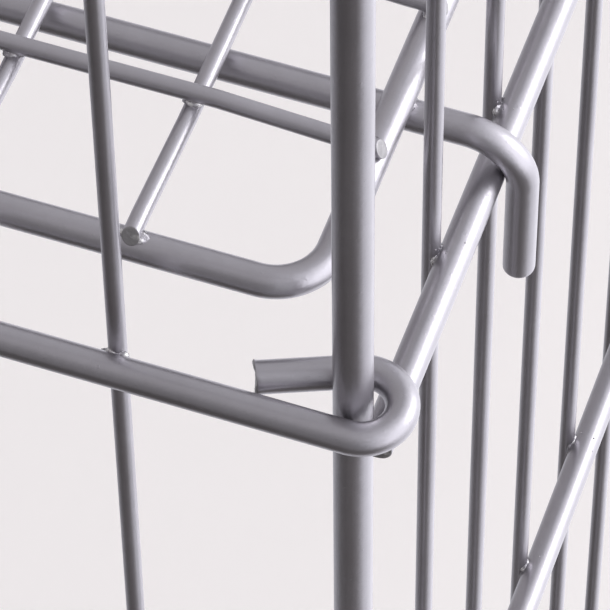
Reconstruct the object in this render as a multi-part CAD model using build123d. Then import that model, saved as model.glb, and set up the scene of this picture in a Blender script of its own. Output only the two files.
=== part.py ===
"""Wire mesh container: four hinged wire panels round a hung wire floor.

Millimetres, +X right, +Y back, +Z up. The origin is on the ground, at the middle of the footprint.
The two side panels carry the corner rods. The rails of the front and rear panels end in open
loops that turn on those rods, and the floor hangs by its hooks on the side bars of one level.
"""

import os

from build123d import *

# Driving dimensions.
WIDTH = 600.0  # between corner rod axes, along X
DEPTH = 600.0  # between corner rod axes, along Y
ROD_LENGTH = 770.0
ROD_D = 7.5
BAR_D = 6.4  # rails, side bars, floor frame and hook wires
MESH_D = 3.6  # thin wires of the panels and the floor
LOWEST_BAR_Z = 100.0
LEVEL_STEP = 215.0
LEVEL_COUNT = 4
FLOOR_LEVEL = 3  # the floor hangs on the side bars of this level, counted from the bottom
MESH_WIRE_COUNT = 15  # thin wires in each panel, and each way in the floor

# Weld set-down: how far two crossing wires are pressed into each other.
MESH_SET_DOWN = 0.7
ROD_SET_DOWN = 1.95
HOOK_SET_DOWN = 0.9
FLOOR_MESH_SET_DOWN = 0.4

# Panels.
RUNNING_GAP = 0.2  # between a rail and the corner rod beside it
LOOP_PLAY = 2.5  # between a loop and the side bar below it
BAR_OVERHANG = 2.0  # side bar end past the corner rod's axis
MESH_OVERHANG = 4.0  # thin wire end past the outermost rail or bar axis
FRONT_FIRST_WIRE = 44.5  # corner rod axis to the first thin wire of the front and rear panels
SIDE_FIRST_WIRE = 43.1  # the same, in the side panels
ROD_END_CHAMFER = 0.8

# Loop at each rail end: an arc round the rod, then a short free end.
LOOP_R = 7.5  # centreline
LOOP_REACH = 1.5  # arc centre past the rod's axis, along the rail
LOOP_TURN = 202.9  # degrees
LOOP_FREE_END = 19.4

# Floor.
HOOK_BEND_R = 11.5  # centreline
HOOK_LEG_OUT = 6.6  # hook leg's axis outside the side bar's axis
HOOK_GAP = 0.15  # between the hook's inside and the side bar
HOOK_LEG_DROP = 38.1  # hook wire axis down to the leg's cut end
HOOK_WIRE_YS = (-234.6, -91.75, 91.75, 234.6)
FLOOR_SIDE_IN = 13.0  # floor frame axis inside the corner rod axis, along X
FLOOR_FRONT_IN = 15.8  # the same, along Y
FLOOR_CORNER_R = 11.0  # centreline
CROSS_WIRE_OVERHANG = 2.2  # cross wire end past the floor frame's axis
LONG_WIRE_OVERHANG = 2.9
FLOOR_FIRST_CROSS = 35.0  # floor frame axis to the first cross wire, along X
FLOOR_FIRST_LONG = 33.0  # floor frame axis to the first long wire, along Y
FLOOR_WIRE_DIP = 1.6  # how far a cross wire drops from the frame to the first crossing
FLOOR_WIRE_FLAT = 5.0  # straight length on the frame before the wire bends
FLOOR_WIRE_BEND_R = 20.0

# Worked out from the above.
ROD_X = WIDTH / 2
ROD_Y = DEPTH / 2
ROD_R = ROD_D / 2
BAR_R = BAR_D / 2
MESH_R = MESH_D / 2
BAR_X = ROD_X + ROD_R + BAR_R - ROD_SET_DOWN
RAIL_Y = ROD_Y + ROD_R + BAR_R + RUNNING_GAP
MESH_OFFSET = BAR_R + MESH_R - MESH_SET_DOWN  # thin wire axis from the axis of its rail or bar
BAR_ZS = [LOWEST_BAR_Z + level * LEVEL_STEP for level in range(LEVEL_COUNT)]
RAIL_RISE = BAR_D + LOOP_PLAY  # rail axis above the side bar's axis
RAIL_ZS = [z + RAIL_RISE for z in BAR_ZS]
HOOK_X = BAR_X + HOOK_LEG_OUT
BAR_FROM_BEND = HOOK_BEND_R - HOOK_LEG_OUT  # bar axis from the bend's centre, along X
BAR_REACH = HOOK_BEND_R - BAR_D - HOOK_GAP  # bar axis from the bend's centre, straight
HOOK_RISE = HOOK_BEND_R - (BAR_REACH**2 - BAR_FROM_BEND**2) ** 0.5
HOOK_Z = BAR_ZS[FLOOR_LEVEL - 1] + HOOK_RISE
FRAME_Z = HOOK_Z + BAR_D - HOOK_SET_DOWN
FRAME_X = ROD_X - FLOOR_SIDE_IN
FRAME_Y = ROD_Y - FLOOR_FRONT_IN
ON_FRAME_Z = FRAME_Z + MESH_OFFSET  # floor wire axis where it lies on the frame
CROSS_Z = ON_FRAME_Z - FLOOR_WIRE_DIP
LONG_Z = CROSS_Z + MESH_D - FLOOR_MESH_SET_DOWN


def spaced(first, last, count):
    """Evenly spaced positions, both ends included."""
    step = (last - first) / (count - 1)
    return [first + step * i for i in range(count)]


def wire_along(edges, diameter):
    """A round wire whose axis follows the edges, which join end to end."""
    path = Wire(edges)
    section = Plane(origin=path @ 0, z_dir=path % 0) * Circle(diameter / 2)
    return sweep(section, path=path)


def straight_wire(start, end, diameter):
    """A straight round wire from start to end."""
    return wire_along([Line(start, end)], diameter)


def corner_rod(x, y):
    """A corner rod, which stands on the ground, with both ends chamfered."""
    rod = straight_wire((x, y, 0), (x, y, ROD_LENGTH), ROD_D)
    ends = rod.edges().filter_by(GeomType.CIRCLE)
    return chamfer(ends, ROD_END_CHAMFER)


def side_bar(x, z):
    """A side bar, welded across the outside of two corner rods."""
    reach = ROD_Y + BAR_OVERHANG
    return straight_wire((x, -reach, z), (x, reach, z), BAR_D)


def looped_rail(z):
    """A rail of the front panel: its ends wrap round the corner rods, front to back."""
    centre_y = -RAIL_Y + LOOP_R
    centre_x = ROD_X + LOOP_REACH
    right_arc = CenterArc((centre_x, centre_y, z), LOOP_R, -90, LOOP_TURN)
    left_arc = CenterArc((-centre_x, centre_y, z), LOOP_R, -90, -LOOP_TURN)
    right_tip = right_arc @ 1 + (right_arc % 1) * LOOP_FREE_END
    left_tip = left_arc @ 1 + (left_arc % 1) * LOOP_FREE_END
    edges = [
        Line(left_tip, left_arc @ 1),
        left_arc,
        Line(left_arc @ 0, right_arc @ 0),
        right_arc,
        Line(right_arc @ 1, right_tip),
    ]
    return wire_along(edges, BAR_D)


def upright_wires(positions, bottom, top):
    """Thin upright wires at the given (x, y) positions, as separate solids."""
    return [straight_wire((x, y, bottom), (x, y, top), MESH_D) for x, y in positions]


def front_mesh():
    """Thin wires of the front panel, on the inside of its rails."""
    xs = spaced(-ROD_X + FRONT_FIRST_WIRE, ROD_X - FRONT_FIRST_WIRE, MESH_WIRE_COUNT)
    y = -RAIL_Y + MESH_OFFSET
    positions = [(x, y) for x in xs]
    return upright_wires(positions, RAIL_ZS[0] - MESH_OVERHANG, RAIL_ZS[-1] + MESH_OVERHANG)


def side_mesh(side):
    """Thin wires of a side panel, on the inside of its bars. side is 1 on the right, -1 on the left."""
    ys = spaced(-ROD_Y + SIDE_FIRST_WIRE, ROD_Y - SIDE_FIRST_WIRE, MESH_WIRE_COUNT)
    x = side * (BAR_X - MESH_OFFSET)
    positions = [(x, y) for y in ys]
    return upright_wires(positions, BAR_ZS[0] - MESH_OVERHANG, BAR_ZS[-1] + MESH_OVERHANG)


def hook_wire(y):
    """A floor hook wire: it runs under the floor frame, and each end bends down over a side bar."""
    leg_bottom = HOOK_Z - HOOK_LEG_DROP
    corners = [(-HOOK_X, y, leg_bottom), (-HOOK_X, y, HOOK_Z), (HOOK_X, y, HOOK_Z), (HOOK_X, y, leg_bottom)]
    path = FilletPolyline(*corners, radius=HOOK_BEND_R)
    return wire_along(path.edges(), BAR_D)


def floor_frame():
    """The floor's closed frame wire, with bent corners."""
    outline = RectangleRounded(2 * FRAME_X, 2 * FRAME_Y, FLOOR_CORNER_R)
    path = Pos(0, 0, FRAME_Z) * outline.wire()
    section = Plane(origin=path @ 0, z_dir=path % 0) * Circle(BAR_R)
    return sweep(section, path=path)


def floor_wire_profile(frame_reach, overhang, first_wire, middle_z):
    """Points (along, z) of a floor wire, which lies on the frame and steps to middle_z inside it."""
    end = frame_reach + overhang
    bend = frame_reach - FLOOR_WIRE_FLAT
    inner = frame_reach - first_wire + FLOOR_WIRE_FLAT
    half = [(end, ON_FRAME_Z), (bend, ON_FRAME_Z), (inner, middle_z)]
    return [(-a, z) for a, z in half] + [(a, z) for a, z in reversed(half)]


def cross_wires():
    """Floor wires that run front to back, on the frame and under the long wires."""
    profile = floor_wire_profile(FRAME_Y, CROSS_WIRE_OVERHANG, FLOOR_FIRST_LONG, CROSS_Z)
    reach = FRAME_X - FLOOR_FIRST_CROSS
    wires = []
    for x in spaced(-reach, reach, MESH_WIRE_COUNT):
        path = FilletPolyline(*[(x, a, z) for a, z in profile], radius=FLOOR_WIRE_BEND_R)
        wires.append(wire_along(path.edges(), MESH_D))
    return wires


def long_wires():
    """Floor wires that run side to side, over the cross wires, with their ends down on the frame."""
    profile = floor_wire_profile(FRAME_X, LONG_WIRE_OVERHANG, FLOOR_FIRST_CROSS, LONG_Z)
    reach = FRAME_Y - FLOOR_FIRST_LONG
    wires = []
    for y in spaced(-reach, reach, MESH_WIRE_COUNT):
        path = FilletPolyline(*[(a, y, z) for a, z in profile], radius=FLOOR_WIRE_BEND_R)
        wires.append(wire_along(path.edges(), MESH_D))
    return wires


def to_rear(shape):
    """The same piece in the rear panel, which is the front panel mirrored."""
    return mirror(shape, about=Plane.XZ)


def save(name, solids):
    """Writes one sub-part as parts/NAME.step."""
    shape = Compound(children=solids) if len(solids) > 1 else solids[0]
    shape.label = name
    export_step(shape, os.path.join("parts", name + ".step"))


def save_side_panels():
    """The right and left panels, each with two corner rods."""
    for side_name, side in (("right", 1), ("left", -1)):
        save(side_name + "_front_rod", [corner_rod(side * ROD_X, -ROD_Y)])
        save(side_name + "_rear_rod", [corner_rod(side * ROD_X, ROD_Y)])
        for level, z in enumerate(BAR_ZS, start=1):
            save(f"{side_name}_bar_{level}", [side_bar(side * BAR_X, z)])
        save(side_name + "_mesh_wires", side_mesh(side))


def save_front_and_rear_panels():
    """The front and rear panels, whose rails loop round the corner rods."""
    for level, z in enumerate(RAIL_ZS, start=1):
        rail = looped_rail(z)
        save(f"front_rail_{level}", [rail])
        save(f"rear_rail_{level}", [to_rear(rail)])
    wires = front_mesh()
    save("front_mesh_wires", wires)
    save("rear_mesh_wires", [to_rear(wire) for wire in wires])


def save_floor():
    """The hung floor."""
    save("floor_frame", [floor_frame()])
    save("floor_cross_wires", cross_wires())
    save("floor_long_wires", long_wires())
    for number, y in enumerate(HOOK_WIRE_YS, start=1):
        save(f"floor_hook_wire_{number}", [hook_wire(y)])


os.makedirs("parts", exist_ok=True)
save_side_panels()
save_front_and_rear_panels()
save_floor()
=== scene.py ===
"""Looks of the wire mesh container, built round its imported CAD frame. Metres, +X right, +Y back, +Z up."""

import random
from math import cos, pi, radians, sin, tan

import bpy
from mathutils import Matrix, Quaternion, Vector, noise


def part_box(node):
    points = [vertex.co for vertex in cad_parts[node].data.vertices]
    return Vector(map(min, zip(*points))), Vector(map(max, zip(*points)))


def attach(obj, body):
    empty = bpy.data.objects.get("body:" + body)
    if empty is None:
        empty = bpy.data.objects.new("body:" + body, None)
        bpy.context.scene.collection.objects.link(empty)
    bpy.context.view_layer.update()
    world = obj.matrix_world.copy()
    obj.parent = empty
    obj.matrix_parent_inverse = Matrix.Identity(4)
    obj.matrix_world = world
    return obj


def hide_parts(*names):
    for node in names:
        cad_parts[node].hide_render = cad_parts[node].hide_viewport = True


MM = 0.001
RANDOM_SEED = 20

# Wire sizes, bends and counts that the frame's boxes don't give, the same as in the CAD model.
BAR_R = 3.2 * MM  # rails, side bars, floor frame and hook wires
MESH_R = 1.8 * MM  # thin wires
LOOP_R = 7.5 * MM
LOOP_TURN = radians(202.9)
LOOP_FREE_END = 19.4 * MM
HOOK_BEND_R = 11.5 * MM
FLOOR_CORNER_R = 11.0 * MM
CROSS_WIRE_OVERHANG = 2.2 * MM
LONG_WIRE_OVERHANG = 2.9 * MM
FLOOR_WIRE_FLAT = 5.0 * MM
FLOOR_WIRE_BEND_R = 20.0 * MM
ROD_CHAMFER = 0.8 * MM
LEVEL_COUNT = 4
MESH_WIRE_COUNT = 15
HOOK_WIRE_COUNT = 4

# How finely wires, welds and spatter beads are divided.
BAR_SIDES = 40
MESH_SIDES = 24
RUN_STEP = 18.0 * MM
ARC_STEP = radians(5.0)
WELD_AROUND = 20
WELD_ROWS = 10
BEAD_AROUND = 8
BEAD_ROWS = 5

# Small flaws of a hand-fed bending and welding line.
LEAN = 0.22 * MM  # how far a thin wire's end may lie off its place
BOW = 0.12 * MM  # how far it may bow between its ends
WELD_SHIFT = 0.2 * MM  # how far a weld may lie off its place, along its first radius

# Form of a cut wire end, in radii of its wire.
PAINTED_END_ROWS = 4  # rows of an end that are still the painted side of the wire
EDGE_SPREAD = 1.6  # how much further back the rows lie where the blade rolls the edge over
EDGE_DROP = 0.14  # how far the face drops there
EDGE_NARROWING = 0.05
COARSE_GRAIN_SCALE = 2.3
COARSE_GRAIN = 0.06
FINE_GRAIN_SCALE = 7.0
FINE_GRAIN = 0.04
DISH = 0.10  # how far the middle of the face lies back
HOLLOW = 0.52  # depth of a bitten-off face between its lips
LIP_FALL = 0.9  # how far a lip falls away again at the very edge
BURR_SWELLING = 0.8  # of the burr opposite the blade, against that of the lips
END_SLANT = 0.5  # how far a floor wire's end leans back over each radius of its height
NOTCH_ANGLE = radians(54.0)  # from upright to the line between the lips of a bitten-off end

# Form of a chamfered rod end.
DENT_SCALE = 900  # noise cells per metre
DENT_DEPTH = 0.05 * MM

# Welds: the flash squeezed out between two crossing wires.
MESH_WELD = (2.65 * MM, 2.65 * MM, 1.35 * MM)  # two radii in the contact plane, half thickness
FRAME_WELD = (3.1 * MM, 1.6 * MM, 1.6 * MM)
FLOOR_WELD = (2.2 * MM, 2.2 * MM, 1.05 * MM)
ROD_WELD = (2.9 * MM, 2.9 * MM, 1.5 * MM)
HOOK_WELD = (3.4 * MM, 3.4 * MM, 1.5 * MM)
WELD_LENGTH = (0.9, 1.12)  # least and most of a weld's size, as shares of the above
WELD_WIDTH = (0.92, 1.1)
WELD_THICKNESS = (0.92, 1.12)
WELD_ROUGHNESS = 0.30  # how far lumps raise or lower a weld's surface, as a share of its radius
LUMP_COARSE_SCALE = 1.3
LUMP_FINE_SCALE = 3.2
LUMP_FINE_SHARE = 0.4
PANEL_WELD_DEPTH = 0.3 * MM  # from the heavy wire's surface in to the middle of the weld
FRAME_WELD_DEPTH = 0.35 * MM
HOOK_WELD_DEPTH = 0.4 * MM

# Spatter beads beside the welds.
BEAD_R = (0.12 * MM, 0.28 * MM)
BEAD_SPREAD = 0.87  # radians either side of straight out, a little under 50 degrees
BEAD_RISE = 0.2  # height of a bead's middle over the wire, in radii of the bead
BEAD_ROUGHNESS = 0.15
WIRE_BEAD_REACH = 5.0 * MM  # how far from its weld a bead may lie, on a panel's thin wire
BAR_BEAD_REACH = 2.8 * MM
FLOOR_BEAD_REACH = 7.0 * MM
PANEL_BEAD_COUNTS = (1, 2, 3)  # one of these is drawn for each weld
FLOOR_BEAD_COUNTS = (0, 0, 1)

# Colours, linear.
PAINT = (0.515, 0.50, 0.525)
PAINT_DARK = (0.415, 0.40, 0.42)
CUT = (0.42, 0.41, 0.41)
CUT_BRIGHT = (0.86, 0.85, 0.83)
FLOOR_COLOUR = (0.83, 0.80, 0.775)
FLOOR_PAINTED_LIGHT_GAIN = 1.06  # painted light: the hung floor's copy of the paint is this much lighter than the panels', though both are one paint

# Paint. Scales are in cells per metre.
MOTTLE_SCALE = 45
ORANGE_PEEL_SCALE = 420
NIB_SCALE = 900
FLAKE_SCALE = 3400
FLAKE_TILT = 0.05
LINE_SCALE = (25.0, 30.0, 0.0)  # cells per metre along the wire, cells per turn round it
PAINT_ROUGHNESS = (0.29, 0.36)
PAINT_METALLIC = 0.92
COAT_WEIGHT = 0.07
COAT_ROUGHNESS = 0.22

# Cut ends and weld flash. Scales are in cells per metre.
CUT_GRAIN_SCALE = 1500
CHIP_SCALE = 380
CUT_METALLIC = 0.9
WELD_FLASH_SCALE = 1100
BURNT_SPOT_SCALE = 520
WELD_METALLIC = 0.95

# Camera.
CAMERA_AZIMUTH = radians(19.97)
CAMERA_ELEVATION = radians(54.0)
CAMERA_ROLL = radians(-0.82)
CAMERA_LENS = 285.0  # millimetres, as is the sensor
CAMERA_SENSOR = 36.0
CAMERA_CLIP_START = 0.05
CAMERA_FROM_CORNER = Vector((162.92, -473.16, 719.61)) * MM

# Key light. Metres and watts.
KEY_DIRECTION = Vector((0.78, 0.55, 0.30))
KEY_DISTANCE = 2.2
KEY_SIZE = 1.3
KEY_POWER = 9.0

# Studio floor.
STUDIO_FLOOR_HALF = 30.0
STUDIO_FLOOR_TONE_SCALE = 0.7
STUDIO_FLOOR_DIMMEST = 0.985
STUDIO_FLOOR_GLOW = 0.26

# Studio brightness by direction: (how far the direction leans along an axis, from 0 to 1, brightness).
# Over the horizon the brightness of a direction is that of ABOVE times that of FRONT, and under it
# that of BELOW times that of BELOW_LEFT.
ABOVE_AXIS = (0.9, 0.25, 0.0)
ABOVE_STOPS = ((0.20, 0.46), (0.35, 0.50), (0.50, 0.58), (0.63, 0.84), (0.75, 1.25), (0.88, 1.9))
FRONT_AXIS = (0.0, 1.0, 0.0)
FRONT_STOPS = ((0.02, 0.48), (0.10, 0.72), (0.25, 1.0))
BELOW_AXIS = (0.08, 1.0, 0.0)
BELOW_STOPS = ((0.21, 0.11), (0.29, 0.15), (0.36, 0.36), (0.43, 0.78), (0.53, 1.06), (0.80, 1.45))
BELOW_LEFT_AXIS = (1.0, 0.0, 0.0)
BELOW_LEFT_STOPS = ((0.22, 0.46), (0.36, 0.75), (0.50, 1.0))
HORIZON = (-0.45, -0.1)  # heights of a direction, from all under the horizon to all over it

# Tints of the studio's dim and bright parts, and how fast one gives way to the other with brightness.
SHADOW_TINT = (1.0, 0.89, 0.87)
LIGHT_TINT = (1.0, 1.0, 1.07)
TINT_CHANGE = 1.5

X = Vector((1, 0, 0))
Y = Vector((0, 1, 0))
Z = Vector((0, 0, 1))

# Places in a piece's list of materials: its paint or weld flash, and its cut ends.
PAINT_FINISH = 0
CUT_FINISH = 1

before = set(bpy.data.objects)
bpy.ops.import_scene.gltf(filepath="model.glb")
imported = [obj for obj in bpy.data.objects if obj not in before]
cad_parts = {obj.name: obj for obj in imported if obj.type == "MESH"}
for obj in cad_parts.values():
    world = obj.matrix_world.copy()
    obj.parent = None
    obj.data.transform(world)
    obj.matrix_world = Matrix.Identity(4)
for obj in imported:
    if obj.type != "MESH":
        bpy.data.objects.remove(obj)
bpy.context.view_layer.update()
rng = random.Random(RANDOM_SEED)


# ---------------------------------------------------------------- shapes


class Shape:
    """Rings of points joined by quads, gathered for one mesh."""

    def __init__(self):
        self.points = []
        self.faces = []
        self.finishes = []
        self.uvs = []

    def add_ring(self, points):
        first = len(self.points)
        self.points.extend(points)
        return first

    def add_band(self, ring_a, ring_b, count, along_a, along_b, finish):
        """Quads from one ring to the next. A face's UV is its place along and around the wire."""
        for i in range(count):
            j = (i + 1) % count
            self.faces.append((ring_a + i, ring_a + j, ring_b + j, ring_b + i))
            around = i / count
            after = (i + 1) / count
            self.uvs += [(along_a, around), (along_a, after), (along_b, after), (along_b, around)]
            self.finishes.append(finish)

    def add_fan(self, ring, count, tip, along, finish, reverse=False):
        """Triangles from a ring to one point."""
        middle = len(self.points)
        self.points.append(tip)
        for i in range(count):
            pair = (ring + i, ring + (i + 1) % count)
            if reverse:
                pair = pair[::-1]
            self.faces.append((pair[0], pair[1], middle))
            self.uvs += [(along, i / count), (along, (i + 1) / count), (along, 0.5)]
            self.finishes.append(finish)

    def to_object(self, name, materials):
        mesh = bpy.data.meshes.new(name)
        mesh.from_pydata(self.points, [], self.faces)
        layer = mesh.uv_layers.new(name="wire")
        layer.data.foreach_set("uv", [value for uv in self.uvs for value in uv])
        mesh.polygons.foreach_set("material_index", self.finishes)
        mesh.polygons.foreach_set("use_smooth", [True] * len(self.faces))
        for material in materials:
            mesh.materials.append(material)
        piece = bpy.data.objects.new(name, mesh)
        bpy.context.scene.collection.objects.link(piece)
        return piece


def run(start, end):
    """Points from start towards end, without end."""
    count = max(1, round((end - start).length / RUN_STEP))
    return [start.lerp(end, i / count) for i in range(count)]


def arc(centre, spoke, axis, turn):
    """Points round centre, from centre + spoke, turned about axis."""
    count = max(2, round(abs(turn) / ARC_STEP))
    return [centre + Quaternion(axis, turn * i / count) @ spoke for i in range(count + 1)]


def bent(corners, radius):
    """Points along the straight runs between corners, with each inner corner rounded."""
    points = []
    start = corners[0]
    for before, corner, after in zip(corners, corners[1:], corners[2:]):
        arriving = (corner - before).normalized()
        leaving = (after - corner).normalized()
        turn = arriving.angle(leaving)
        axis = arriving.cross(leaving).normalized()
        inward = axis.cross(arriving)
        bend_start = corner - arriving * radius * tan(turn / 2)
        bend = arc(bend_start + inward * radius, -inward * radius, axis, turn)
        points += run(start, bend_start) + bend[:-1]
        start = bend[-1]
    return points + run(start, corners[-1]) + [corners[-1]]


def ring_points(centre, side, up, radius, sides):
    steps = [2 * pi * i / sides for i in range(sides)]
    return [centre + (side * cos(a) + up * sin(a)) * radius for a in steps]


def cut_end(centre, outward, side, up, radius, sides, crush=0.35, notch=0.0, swelling=0.0, slant=0.0):
    """Rings of a cut wire end, from the full wire to the middle of its face.

    The blade rounds one edge over, and the wire breaks off with a burr on the other. crush is how
    rough the cut is, notch how far the face is hollowed along NOTCH_ANGLE, swelling how far it is
    squeezed out beyond the wire, and slant how far its top leans back.
    """
    blade = rng.uniform(0, 2 * pi)
    seed = Vector((rng.uniform(0, 50), rng.uniform(0, 50), rng.uniform(0, 50)))
    rows = (  # share of the radius, how far back from the end in radii
        (1.0, 0.36 + 2 * slant),
        (1.0, 0.14),
        (0.995, 0.07),
        (0.975, 0.025),
        (0.93, 0.004),
        (0.84, 0.0),
        (0.66, 0.0),
        (0.44, 0.0),
        (0.2, 0.0),
    )
    rings = []
    for row, (share, back) in enumerate(rows):
        near_face = min(1.0, row / 3)
        ring = []
        for i in range(sides):
            a = 2 * pi * i / sides
            bite = cos(a - blade)
            rolled = crush * max(0.0, bite) ** 2
            burr = crush * max(0.0, -bite) ** 3
            spot = Vector((cos(a) * share, sin(a) * share, 0))
            coarse = noise.noise(spot * COARSE_GRAIN_SCALE + seed)
            fine = noise.noise(spot * FINE_GRAIN_SCALE + seed)
            reach = -back * (1 + EDGE_SPREAD * rolled) - EDGE_DROP * rolled * share**4 * near_face
            reach += crush * near_face * (COARSE_GRAIN * coarse + FINE_GRAIN * fine)
            reach -= crush * near_face * DISH * (1 - share)
            lip = cos(a - NOTCH_ANGLE) ** 2
            reach -= notch * near_face * (HOLLOW - lip * share**2 + LIP_FALL * lip * share**8)
            if row > 0:
                height = side.z * cos(a) + up.z * sin(a)
                reach -= slant * (1 + height * share)
            bulge = abs(cos(a - NOTCH_ANGLE)) ** 3 + BURR_SWELLING * burr * (0.5 + fine)
            swell = swelling * near_face * bulge
            width = share * (1 - EDGE_NARROWING * rolled * near_face) + swell * share**2
            ring.append(centre + (outward * reach + (side * cos(a) + up * sin(a)) * width) * radius)
        rings.append(ring)
    return rings


def cropped_end(centre, outward, side, up, radius, sides):
    """A clean machine-cropped end."""
    return cut_end(centre, outward, side, up, radius, sides)


def sheared_end(centre, outward, side, up, radius, sides):
    """The rougher end of a bent loop, bitten off: a hollow face between two swollen lips."""
    return cut_end(centre, outward, side, up, radius, sides, crush=0.8, notch=0.34, swelling=0.07)


def slanted_end(centre, outward, side, up, radius, sides):
    """A floor wire's end, sheared at a slant, so that its face looks upwards a little."""
    return cut_end(centre, outward, side, up, radius, sides, crush=0.25, slant=END_SLANT)


def chamfered_end(centre, outward, side, up, radius, sides):
    """Rings of a rod's end: a chamfer with softened edges round a flat face."""
    seed = Vector((rng.uniform(0, 50), rng.uniform(0, 50), 0))
    flat = radius - ROD_CHAMFER
    rows = (  # radius, how far back from the end
        (radius, 1.5 * ROD_CHAMFER),
        (radius, 1.06 * ROD_CHAMFER),
        (radius * 0.99, 0.92 * ROD_CHAMFER),
        (flat * 1.03, 0.1 * ROD_CHAMFER),
        (flat * 0.98, 0.02 * ROD_CHAMFER),
        (flat * 0.8, 0.0),
        (flat * 0.55, 0.0),
        (flat * 0.25, 0.0),
    )
    rings = []
    for width, back in rows:
        ring = []
        for point in ring_points(centre - outward * back, side, up, width, sides):
            dent = noise.noise(point * DENT_SCALE + seed) if back == 0 else 0.0
            ring.append(point - outward * DENT_DEPTH * (1 + dent))
        rings.append(ring)
    return rings


def add_wire(shape, path, plane, radius, sides, end=cropped_end):
    """A round wire along path, whose points lie in one plane. end shapes both of its ends."""
    steps = [(b - a).normalized() for a, b in zip(path, path[1:])]
    between = [(a + b).normalized() for a, b in zip(steps, steps[1:])]
    tangents = [steps[0]] + between + [steps[-1]]
    first_up = tangents[0].cross(plane)
    last_up = tangents[-1].cross(plane)
    opening = end(path[0], -tangents[0], plane, first_up, radius, sides)
    closing = end(path[-1], tangents[-1], plane, last_up, radius, sides)
    rings = opening[::-1]
    for centre, tangent in zip(path[1:-1], tangents[1:-1]):
        rings.append(ring_points(centre, plane, tangent.cross(plane), radius, sides))
    rings += closing
    cut_bands = len(opening) - PAINTED_END_ROWS
    along = 0.0
    before = None
    for number, ring in enumerate(rings):
        first = shape.add_ring(ring)
        centre = sum(ring, Vector()) / sides
        if before is None:
            shape.add_fan(first, sides, centre, 0.0, CUT_FINISH, reverse=True)
        else:
            before_first, before_centre = before
            step = (centre - before_centre).length
            from_end = min(number, len(rings) - number)
            finish = CUT_FINISH if from_end <= cut_bands else PAINT_FINISH
            shape.add_band(before_first, first, sides, along, along + step, finish)
            along += step
        before = (first, centre)
    shape.add_fan(first, sides, centre, along, CUT_FINISH)


def add_closed_wire(shape, path, plane, radius, sides):
    """A round wire whose path closes on itself."""
    count = len(path)
    firsts = []
    for i, centre in enumerate(path):
        tangent = (path[(i + 1) % count] - path[i - 1]).normalized()
        firsts.append(shape.add_ring(ring_points(centre, plane, tangent.cross(plane), radius, sides)))
    along = 0.0
    for i in range(count):
        step = (path[(i + 1) % count] - path[i]).length
        shape.add_band(firsts[i], firsts[(i + 1) % count], sides, along, along + step, PAINT_FINISH)
        along += step


def add_lump(shape, centre, normal, tangent, radii, roughness, around=WELD_AROUND, rows=WELD_ROWS):
    """A lumpy flattened ball. radii are along tangent, across it and along normal."""
    across = normal.cross(tangent)
    seed = Vector((rng.uniform(0, 90), rng.uniform(0, 90), rng.uniform(0, 90)))
    firsts = []
    for row in range(1, rows):
        tilt = pi * row / rows
        ring = []
        for i in range(around):
            a = 2 * pi * i / around
            flat = Vector((cos(a) * sin(tilt), sin(a) * sin(tilt), cos(tilt)))
            coarse = noise.noise(flat * LUMP_COARSE_SCALE + seed)
            fine = noise.noise(flat * LUMP_FINE_SCALE + seed)
            lump = 1 + roughness * (coarse + LUMP_FINE_SHARE * fine)
            offset = tangent * flat.x * radii[0] + across * flat.y * radii[1] + normal * flat.z * radii[2]
            ring.append(centre + offset * lump)
        firsts.append(shape.add_ring(ring))
    for a, b in zip(firsts, firsts[1:]):
        shape.add_band(b, a, around, 0.0, radii[0], PAINT_FINISH)
    shape.add_fan(firsts[0], around, centre + normal * radii[2], 0.0, PAINT_FINISH)
    shape.add_fan(firsts[-1], around, centre - normal * radii[2], 0.0, PAINT_FINISH, reverse=True)


def add_weld(shape, place, normal, tangent, size):
    """The flash of one resistance weld, in the contact plane square to normal."""
    length = size[0] * rng.uniform(*WELD_LENGTH)
    shift = tangent * rng.uniform(-WELD_SHIFT, WELD_SHIFT)
    width = size[1] * rng.uniform(*WELD_WIDTH)
    thickness = size[2] * rng.uniform(*WELD_THICKNESS)
    radii = (length, width, thickness)
    add_lump(shape, place + shift, normal, tangent, radii, WELD_ROUGHNESS)


def add_beads(shape, place, axis, out, wire_radius, reach, count):
    """Spatter beads on a wire's surface near a weld. They stay within BEAD_SPREAD of out."""
    across = axis.cross(out)
    for _ in range(count):
        turn = rng.uniform(-BEAD_SPREAD, BEAD_SPREAD)
        away = out * cos(turn) + across * sin(turn)
        along = rng.choice((-1, 1)) * rng.uniform(0.25, 1.0) * reach
        size = rng.uniform(*BEAD_R)
        centre = place + axis * along + away * (wire_radius + size * BEAD_RISE)
        radii = (size, size * 0.9, size * 0.75)
        add_lump(shape, centre, away, axis, radii, BEAD_ROUGHNESS, BEAD_AROUND, BEAD_ROWS)


# ---------------------------------------------------------------- materials
# Bump distances are in metres. A bump's strength is from 0 to 1.


def new_material(name):
    material = bpy.data.materials.new(name)
    material.use_nodes = True
    tree = material.node_tree
    tree.nodes.clear()
    shader = tree.nodes.new("ShaderNodeBsdfPrincipled")
    output = tree.nodes.new("ShaderNodeOutputMaterial")
    tree.links.new(shader.outputs["BSDF"], output.inputs["Surface"])
    return material, tree, shader


def put(tree, kind, output, inputs, **settings):
    """Adds a node, sets its inputs by name or place, and returns one of its outputs."""
    node = tree.nodes.new(kind)
    for name, value in settings.items():
        setattr(node, name, value)
    for key, value in inputs.items():
        if isinstance(value, bpy.types.NodeSocket):
            tree.links.new(value, node.inputs[key])
        else:
            node.inputs[key].default_value = value
    return node.outputs[output]


def noise_value(tree, place, scale, detail):
    return put(tree, "ShaderNodeTexNoise", "Fac", {"Vector": place, "Scale": scale, "Detail": detail})


def ranged(tree, value, low, high, new_low, new_high):
    inputs = {"Value": value, "From Min": low, "From Max": high, "To Min": new_low, "To Max": new_high}
    return put(tree, "ShaderNodeMapRange", "Result", inputs)


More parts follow.
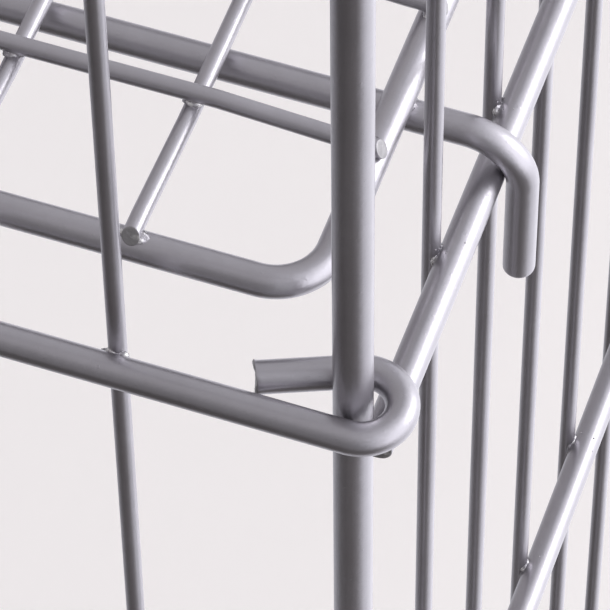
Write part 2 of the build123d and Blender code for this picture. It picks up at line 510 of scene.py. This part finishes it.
def mixed(tree, factor, colour_a, colour_b):
    """A colour between two, each a socket or three linear values."""
    inputs = {0: factor}
    for key, colour in ((6, colour_a), (7, colour_b)):
        inputs[key] = colour if isinstance(colour, bpy.types.NodeSocket) else (*colour, 1)
    return put(tree, "ShaderNodeMix", 2, inputs, data_type="RGBA")


def bumped(tree, height, distance, strength, normal=None):
    inputs = {"Height": height, "Distance": distance, "Strength": strength}
    if normal is not None:
        inputs["Normal"] = normal
    return put(tree, "ShaderNodeBump", "Normal", inputs)


def flaked_normal(tree, place, scale, tilt):
    """The surface normal, turned a little by each metal flake."""
    flake = put(tree, "ShaderNodeTexVoronoi", "Color", {"Vector": place, "Scale": scale})
    centred = put(tree, "ShaderNodeVectorMath", 0, {0: flake, 1: (-0.5, -0.5, -0.5)}, operation="ADD")
    tilted = put(tree, "ShaderNodeVectorMath", 0, {0: centred, "Scale": tilt}, operation="SCALE")
    normal = put(tree, "ShaderNodeNewGeometry", "Normal", {})
    summed = put(tree, "ShaderNodeVectorMath", 0, {0: normal, 1: tilted}, operation="ADD")
    return put(tree, "ShaderNodeVectorMath", 0, {0: summed}, operation="NORMALIZE")


def paint_material(name, brightness):
    """Satin silver metallic paint on drawn wire: flakes, orange peel, drawing lines and paint nibs."""
    material, tree, shader = new_material(name)
    place = put(tree, "ShaderNodeTexCoord", "Object", {})
    wire = put(tree, "ShaderNodeUVMap", "UV", {}, uv_map="wire")
    stretched = put(tree, "ShaderNodeVectorMath", 0, {0: wire, 1: LINE_SCALE}, operation="MULTIPLY")
    mottle = noise_value(tree, place, MOTTLE_SCALE, 4)
    cloud = noise_value(tree, place, ORANGE_PEEL_SCALE, 3)
    lines = noise_value(tree, stretched, 1.0, 2)
    nibs = noise_value(tree, place, NIB_SCALE, 1)
    nib = ranged(tree, nibs, 0.70, 0.80, 0.0, 1.0)
    dark = tuple(value * brightness for value in PAINT_DARK)
    light = tuple(value * brightness for value in PAINT)
    base = mixed(tree, ranged(tree, mottle, 0.3, 0.7, 0.35, 1.0), dark, light)
    grained = mixed(tree, ranged(tree, cloud, 0.3, 0.75, 0.0, 0.28), base, dark)
    tree.links.new(grained, shader.inputs["Base Color"])
    rough = ranged(tree, lines, 0.25, 0.75, *PAINT_ROUGHNESS)
    tree.links.new(rough, shader.inputs["Roughness"])
    shader.inputs["Metallic"].default_value = PAINT_METALLIC
    shader.inputs["Coat Weight"].default_value = COAT_WEIGHT
    shader.inputs["Coat Roughness"].default_value = COAT_ROUGHNESS
    normal = flaked_normal(tree, place, FLAKE_SCALE, FLAKE_TILT)
    normal = bumped(tree, cloud, 0.06 * MM, 0.05, normal)
    normal = bumped(tree, lines, 0.03 * MM, 0.45, normal)
    normal = bumped(tree, nib, 0.05 * MM, 0.5, normal)
    tree.links.new(normal, shader.inputs["Normal"])
    return material


def cut_material(name):
    """A cropped end under thin paint: rough, with bare bright chips where the paint didn't take."""
    material, tree, shader = new_material(name)
    place = put(tree, "ShaderNodeTexCoord", "Object", {})
    grain = noise_value(tree, place, CUT_GRAIN_SCALE, 5)
    patch = noise_value(tree, place, CHIP_SCALE, 3)
    chips = ranged(tree, patch, 0.60, 0.72, 0.0, 1.0)
    colour = mixed(tree, chips, CUT, CUT_BRIGHT)
    tree.links.new(colour, shader.inputs["Base Color"])
    tree.links.new(ranged(tree, grain, 0.3, 0.7, 0.34, 0.58), shader.inputs["Roughness"])
    shader.inputs["Metallic"].default_value = CUT_METALLIC
    normal = bumped(tree, grain, 0.12 * MM, 0.8)
    normal = bumped(tree, patch, 0.3 * MM, 0.5, normal)
    tree.links.new(normal, shader.inputs["Normal"])
    return material


def weld_material(name):
    """Painted weld flash: scaly, with bright burnt-through spots."""
    material, tree, shader = new_material(name)
    place = put(tree, "ShaderNodeTexCoord", "Object", {})
    scale = noise_value(tree, place, WELD_FLASH_SCALE, 4)
    patch = noise_value(tree, place, BURNT_SPOT_SCALE, 2)
    spot = ranged(tree, patch, 0.50, 0.62, 0.0, 1.0)
    colour = mixed(tree, spot, PAINT_DARK, CUT_BRIGHT)
    tree.links.new(colour, shader.inputs["Base Color"])
    tree.links.new(ranged(tree, scale, 0.3, 0.7, 0.16, 0.42), shader.inputs["Roughness"])
    shader.inputs["Metallic"].default_value = WELD_METALLIC
    normal = bumped(tree, scale, 0.25 * MM, 0.9)
    normal = bumped(tree, patch, 0.5 * MM, 0.6, normal)
    tree.links.new(normal, shader.inputs["Normal"])
    return material


def floor_material():
    """A plain pale studio floor, which also glows a little to stand for a fully lit sweep."""
    material, tree, shader = new_material("studio_floor")
    place = put(tree, "ShaderNodeTexCoord", "Object", {})
    tone = noise_value(tree, place, STUDIO_FLOOR_TONE_SCALE, 2)
    dimmer = tuple(value * STUDIO_FLOOR_DIMMEST for value in FLOOR_COLOUR)
    colour = mixed(tree, tone, dimmer, FLOOR_COLOUR)
    tree.links.new(colour, shader.inputs["Base Color"])
    tree.links.new(colour, shader.inputs["Emission Color"])
    shader.inputs["Emission Strength"].default_value = STUDIO_FLOOR_GLOW
    shader.inputs["Roughness"].default_value = 0.9
    shader.inputs["Specular IOR Level"].default_value = 0.0
    return material


# ---------------------------------------------------------------- pieces

panel_finish = [paint_material("panel_silver_paint", 1.0), cut_material("panel_cut_ends")]
floor_finish = [
    # Painted light: the floor's copy of the one silver paint is made lighter than the panels' copy.
    paint_material("floor_silver_paint_with_painted_light", FLOOR_PAINTED_LIGHT_GAIN),
    cut_material("floor_cut_ends"),
]
panel_weld = weld_material("panel_weld_flash")
floor_weld = weld_material("floor_weld_flash")


def middle(low_high):
    return (low_high[0] + low_high[1]) / 2


def spaced(first, last, count):
    """Evenly spaced numbers, both ends included."""
    return [first + (last - first) * i / (count - 1) for i in range(count)]


def finish_piece(shape, name, body, finish, node=None):
    """Makes the piece, and has it ride on its body in place of its CAD node."""
    piece = shape.to_object(name, finish)
    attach(piece, body)
    if node is not None:
        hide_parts(node)


def wandered(path, sideways):
    """The path with its ends a little off their place and a slight bow between them."""
    first = rng.uniform(-LEAN, LEAN)
    last = rng.uniform(-LEAN, LEAN)
    bow = rng.uniform(-BOW, BOW)
    count = len(path) - 1
    moved = []
    for i, point in enumerate(path):
        t = i / count
        moved.append(point + sideways * (first * (1 - t) + last * t + bow * sin(pi * t)))
    return moved


def make_rod(side, end):
    node = f"{side}_{end}_rod"
    low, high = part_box(node)
    axis = middle((low, high))
    bottom = Vector((axis.x, axis.y, low.z))
    top = Vector((axis.x, axis.y, high.z))
    shape = Shape()
    add_wire(shape, run(bottom, top) + [top], X, (high.x - low.x) / 2, BAR_SIDES, chamfered_end)
    finish_piece(shape, f"{node}_steel", f"side_{side}", panel_finish, node)


def make_side_bar(side, level):
    node = f"{side}_bar_{level}"
    low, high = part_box(node)
    axis = middle((low, high))
    front = Vector((axis.x, low.y, axis.z))
    rear = Vector((axis.x, high.y, axis.z))
    shape = Shape()
    add_wire(shape, run(front, rear) + [rear], Z, BAR_R, BAR_SIDES)
    finish_piece(shape, f"{node}_wire", f"side_{side}", panel_finish, node)


def make_looped_rail(face, level):
    """A rail: free end, loop, straight run, loop and free end. outward is -1 at the front."""
    node = f"{face}_rail_{level}"
    outward = -1 if face == "front" else 1
    low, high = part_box(node)
    z = middle((low, high)).z
    straight_y = (low.y if outward < 0 else high.y) - outward * BAR_R
    centre_x = high.x - BAR_R - LOOP_R
    spoke = Vector((0, outward * LOOP_R, 0))
    right = arc(Vector((centre_x, straight_y, z)) - spoke, spoke, Z, -outward * LOOP_TURN)
    leaving = (right[-1] - right[-2]).normalized()
    leaving.rotate(Quaternion(Z, -outward * ARC_STEP / 2))  # from the loop's last chord to its tangent
    tip = right[-1] + leaving * LOOP_FREE_END
    half = run(Vector((0, straight_y, z)), right[0]) + right[:-1] + run(right[-1], tip) + [tip]
    mirrored = [Vector((-point.x, point.y, point.z)) for point in reversed(half[1:])]
    shape = Shape()
    add_wire(shape, mirrored + half, Z, BAR_R, BAR_SIDES, sheared_end)
    finish_piece(shape, f"{node}_wire", face, panel_finish, node)


def upright_places(node, along_x):
    """(x, y) of each thin wire of a panel, and their bottom and top, from the node's box."""
    low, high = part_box(node)
    centre = middle((low, high))
    if along_x:
        places = [(x, centre.y) for x in spaced(low.x + MESH_R, high.x - MESH_R, MESH_WIRE_COUNT)]
    else:
        places = [(centre.x, y) for y in spaced(low.y + MESH_R, high.y - MESH_R, MESH_WIRE_COUNT)]
    return places, low.z, high.z


def make_upright_mesh(panel, body, along_x):
    node = f"{panel}_mesh_wires"
    places, bottom, top = upright_places(node, along_x)
    sideways = X if along_x else Y
    shape = Shape()
    for x, y in places:
        start = Vector((x, y, bottom))
        end = Vector((x, y, top))
        path = wandered(run(start, end) + [end], sideways)
        add_wire(shape, path, Y if along_x else X, MESH_R, MESH_SIDES)
    finish_piece(shape, f"{node}_steel", body, panel_finish, node)


def make_hook_wire(number):
    node = f"floor_hook_wire_{number}"
    low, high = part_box(node)
    y = middle((low, high)).y
    x = high.x - BAR_R
    z = high.z - BAR_R
    corners = [Vector((-x, y, low.z)), Vector((-x, y, z)), Vector((x, y, z)), Vector((x, y, low.z))]
    shape = Shape()
    add_wire(shape, bent(corners, HOOK_BEND_R), Y, BAR_R, BAR_SIDES)
    finish_piece(shape, f"{node}_steel", "floor", floor_finish, node)


def make_floor_frame():
    low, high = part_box("floor_frame")
    x = high.x - BAR_R
    y = high.y - BAR_R
    z = middle((low, high)).z
    corners = [(0, y), (-x, y), (-x, -y), (x, -y), (x, y), (0, y)]
    path = bent([Vector((a, b, z)) for a, b in corners], FLOOR_CORNER_R)
    shape = Shape()
    add_closed_wire(shape, path[:-1], Z, BAR_R, BAR_SIDES)
    finish_piece(shape, "floor_frame_wire", "floor", floor_finish, "floor_frame")


def floor_wire_path(reach, overhang, first_wire, end_z, middle_z):
    """(along, z) corners of a floor wire, from its box and the place of the first wire across it."""
    bend = reach - overhang - FLOOR_WIRE_FLAT
    inner = first_wire + FLOOR_WIRE_FLAT
    half = [(reach, end_z), (bend, end_z), (inner, middle_z)]
    return [(-a, z) for a, z in half] + [(a, z) for a, z in reversed(half)]


def floor_wire_places(node, along_x):
    """Where the wires of one layer lie across the floor."""
    low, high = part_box(node)
    if along_x:
        return spaced(low.y + MESH_R, high.y - MESH_R, MESH_WIRE_COUNT)
    return spaced(low.x + MESH_R, high.x - MESH_R, MESH_WIRE_COUNT)


def make_floor_layer(node, along_x):
    """The cross wires run along Y under the long wires, which run along X."""
    low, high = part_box(node)
    if along_x:
        other = "floor_cross_wires"
        end_z = low.z + MESH_R
        middle_z = high.z - MESH_R
        reach = high.x
        overhang = LONG_WIRE_OVERHANG
        across = Y
    else:
        other = "floor_long_wires"
        end_z = high.z - MESH_R
        middle_z = low.z + MESH_R
        reach = high.y
        overhang = CROSS_WIRE_OVERHANG
        across = X
    first_wire = floor_wire_places(other, not along_x)[-1]
    profile = floor_wire_path(reach, overhang, first_wire, end_z, middle_z)
    shape = Shape()
    for place in floor_wire_places(node, along_x):
        if along_x:
            corners = [Vector((a, place, z)) for a, z in profile]
        else:
            corners = [Vector((place, a, z)) for a, z in profile]
        path = wandered(bent(corners, FLOOR_WIRE_BEND_R), across)
        add_wire(shape, path, across, MESH_R, MESH_SIDES, slanted_end)
    finish_piece(shape, f"{node}_steel", "floor", floor_finish, node)


def make_panel_welds(panel, body, along_x):
    """Welds of the thin wires to each rail or bar, and of the bars to their corner rods."""
    places, _, _ = upright_places(f"{panel}_mesh_wires", along_x)
    shape = Shape()
    for level in range(1, LEVEL_COUNT + 1):
        node = f"{panel}_rail_{level}" if along_x else f"{panel}_bar_{level}"
        low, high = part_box(node)
        z = middle((low, high)).z
        if along_x:
            outer = -1 if panel == "front" else 1
            axis = (low.y if outer < 0 else high.y) - outer * BAR_R
            inward = Y * -outer
        else:
            outer = 1 if panel == "right" else -1
            axis = middle((low, high)).x
            inward = X * -outer
        contact = axis - outer * (BAR_R - PANEL_WELD_DEPTH)
        for x, y in places:
            spot = Vector((x, contact, z)) if along_x else Vector((contact, y, z))
            wire_spot = Vector((x, y, z))
            add_weld(shape, spot, inward, Z, MESH_WELD)
            count = rng.choice(PANEL_BEAD_COUNTS)
            add_beads(shape, wire_spot, Z, -inward, MESH_R, WIRE_BEAD_REACH, count)
            bar_spot = Vector((x, axis, z)) if along_x else Vector((axis, y, z))
            count = rng.choice(PANEL_BEAD_COUNTS)
            add_beads(shape, bar_spot, X if along_x else Y, Z, BAR_R, BAR_BEAD_REACH, count)
        if not along_x:
            for end in ("front", "rear"):
                rod = middle(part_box(f"{panel}_{end}_rod"))
                spot = Vector((contact, rod.y, z))
                add_weld(shape, spot, inward, Y, ROD_WELD)
    finish_piece(shape, f"{panel}_panel_welds", body, [panel_weld])


def make_floor_welds():
    """Welds of the two wire layers to each other and to the frame, and of the frame to the hooks."""
    cross_low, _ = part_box("floor_cross_wires")
    _, long_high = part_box("floor_long_wires")
    frame_low, frame_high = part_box("floor_frame")
    xs = floor_wire_places("floor_cross_wires", False)
    ys = floor_wire_places("floor_long_wires", True)
    long_z = long_high.z - MESH_R
    crossing_z = (cross_low.z + MESH_R + long_z) / 2
    on_frame_z = frame_high.z - FRAME_WELD_DEPTH
    on_hook_z = frame_low.z + HOOK_WELD_DEPTH
    frame_x = frame_high.x - BAR_R
    frame_y = frame_high.y - BAR_R
    shape = Shape()
    for x in xs:
        for y in ys:
            add_weld(shape, Vector((x, y, crossing_z)), Z, X, FLOOR_WELD)
            count = rng.choice(FLOOR_BEAD_COUNTS)
            add_beads(shape, Vector((x, y, long_z)), X, Z, MESH_R, FLOOR_BEAD_REACH, count)
        for end in (-frame_y, frame_y):
            add_weld(shape, Vector((x, end, on_frame_z)), Z, X, FRAME_WELD)
    for y in ys:
        for end in (-frame_x, frame_x):
            add_weld(shape, Vector((end, y, on_frame_z)), Z, Y, FRAME_WELD)
    for number in range(1, HOOK_WIRE_COUNT + 1):
        y = middle(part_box(f"floor_hook_wire_{number}")).y
        for end in (-frame_x, frame_x):
            add_weld(shape, Vector((end, y, on_hook_z)), Z, X, HOOK_WELD)
    finish_piece(shape, "floor_welds", "floor", [floor_weld])


def make_panels():
    for side in ("right", "left"):
        body = f"side_{side}"
        for end in ("front", "rear"):
            make_rod(side, end)
        for level in range(1, LEVEL_COUNT + 1):
            make_side_bar(side, level)
        make_upright_mesh(side, body, along_x=False)
        make_panel_welds(side, body, along_x=False)
    for face in ("front", "rear"):
        for level in range(1, LEVEL_COUNT + 1):
            make_looped_rail(face, level)
        make_upright_mesh(face, face, along_x=True)
        make_panel_welds(face, face, along_x=True)


def make_floor():
    make_floor_frame()
    make_floor_layer("floor_cross_wires", along_x=False)
    make_floor_layer("floor_long_wires", along_x=True)
    for number in range(1, HOOK_WIRE_COUNT + 1):
        make_hook_wire(number)
    make_floor_welds()


# ---------------------------------------------------------------- studio


def make_studio_floor():
    """A wide floor that only the camera sees, so that it doesn't light the wires twice."""
    half = STUDIO_FLOOR_HALF
    mesh = bpy.data.meshes.new("studio_floor")
    corners = [(-half, -half, 0), (half, -half, 0), (half, half, 0), (-half, half, 0)]
    mesh.from_pydata(corners, [], [(0, 1, 2, 3)])
    mesh.materials.append(floor_material())
    floor = bpy.data.objects.new("studio_floor", mesh)
    bpy.context.scene.collection.objects.link(floor)
    floor.visible_glossy = False
    floor.visible_diffuse = False
    floor.visible_shadow = False


def tinted(bright, shadow, light):
    """A brightness as a colour, tinted from shadow to light as it grows."""
    t = min(1.0, TINT_CHANGE * bright)
    return [bright * (dark * (1 - t) + pale * t) for dark, pale in zip(shadow, light)]


def ramp(tree, value, stops, shadow=(1, 1, 1), light=(1, 1, 1)):
    """A ramp of brightness. stops are (place from 0 to 1, brightness)."""
    node = tree.nodes.new("ShaderNodeValToRGB")
    node.color_ramp.interpolation = "EASE"
    tree.links.new(value, node.inputs["Fac"])
    elements = node.color_ramp.elements
    while len(elements) < len(stops):
        elements.new(0.5)
    for element, (place, bright) in zip(elements, stops):
        element.position = place
        element.color = (*tinted(bright, shadow, light), 1)
    return node.outputs["Color"]


def facing(tree, direction, axis):
    """How far a direction leans towards axis, from 0 to 1."""
    along = put(tree, "ShaderNodeVectorMath", 1, {0: direction, 1: axis}, operation="DOT_PRODUCT")
    return ranged(tree, along, -1.0, 1.0, 0.0, 1.0)


def multiplied(tree, colour_a, colour_b):
    inputs = {0: 1.0, 6: colour_a, 7: colour_b}
    return put(tree, "ShaderNodeMix", 2, inputs, data_type="RGBA", blend_type="MULTIPLY")


def make_world():
    """Soft studio surroundings: bright to the right and behind, dark on the front left."""
    world = bpy.data.worlds.new("studio")
    world.use_nodes = True
    bpy.context.scene.world = world
    tree = world.node_tree
    tree.nodes.clear()
    direction = put(tree, "ShaderNodeTexCoord", "Generated", {})
    height = put(tree, "ShaderNodeSeparateXYZ", "Z", {0: direction})
    above = ramp(tree, facing(tree, direction, ABOVE_AXIS), ABOVE_STOPS, SHADOW_TINT, LIGHT_TINT)
    front = ramp(tree, facing(tree, direction, FRONT_AXIS), FRONT_STOPS)
    dimmed = multiplied(tree, above, front)
    below = ramp(tree, facing(tree, direction, BELOW_AXIS), BELOW_STOPS, SHADOW_TINT, LIGHT_TINT)
    left = ramp(tree, facing(tree, direction, BELOW_LEFT_AXIS), BELOW_LEFT_STOPS)
    under = multiplied(tree, below, left)
    sky = mixed(tree, ranged(tree, height, *HORIZON, 0.0, 1.0), under, dimmed)
    seen = put(tree, "ShaderNodeLightPath", "Is Camera Ray", {})
    shown = mixed(tree, seen, sky, FLOOR_COLOUR)
    background = put(tree, "ShaderNodeBackground", "Background", {"Color": shown})
    output = tree.nodes.new("ShaderNodeOutputWorld")
    tree.links.new(background, output.inputs["Surface"])


def make_key_light(target):
    light = bpy.data.lights.new("key", "AREA")
    light.shape = "DISK"
    light.size = KEY_SIZE
    light.energy = KEY_POWER
    lamp = bpy.data.objects.new("key", light)
    lamp.location = target + KEY_DIRECTION.normalized() * KEY_DISTANCE
    lamp.rotation_euler = KEY_DIRECTION.to_track_quat("Z", "Y").to_euler()
    bpy.context.scene.collection.objects.link(lamp)


def make_camera(corner):
    """Looks down on the right front corner, at the level of the hung floor."""
    azimuth = CAMERA_AZIMUTH
    elevation = CAMERA_ELEVATION
    back = Vector((sin(azimuth) * cos(elevation), -cos(azimuth) * cos(elevation), sin(elevation)))
    right = Vector((cos(azimuth), sin(azimuth), 0))
    up = back.cross(right)
    turned_right = right * cos(CAMERA_ROLL) + up * sin(CAMERA_ROLL)
    turned_up = up * cos(CAMERA_ROLL) - right * sin(CAMERA_ROLL)
    data = bpy.data.cameras.new("camera")
    data.lens = CAMERA_LENS
    data.sensor_width = CAMERA_SENSOR
    data.clip_start = CAMERA_CLIP_START
    camera = bpy.data.objects.new("camera", data)
    rotation = Matrix((turned_right, turned_up, back)).transposed().to_4x4()
    camera.matrix_world = Matrix.Translation(corner + CAMERA_FROM_CORNER) @ rotation
    bpy.context.scene.collection.objects.link(camera)
    bpy.context.scene.camera = camera


rod_axis = middle(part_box("right_front_rod"))
rail_axis = middle(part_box("front_rail_3"))
corner = Vector((rod_axis.x, rod_axis.y, rail_axis.z))
make_camera(corner)
make_panels()
make_floor()
make_studio_floor()
make_world()
make_key_light(corner)
bpy.context.scene.view_settings.view_transform = "Standard"
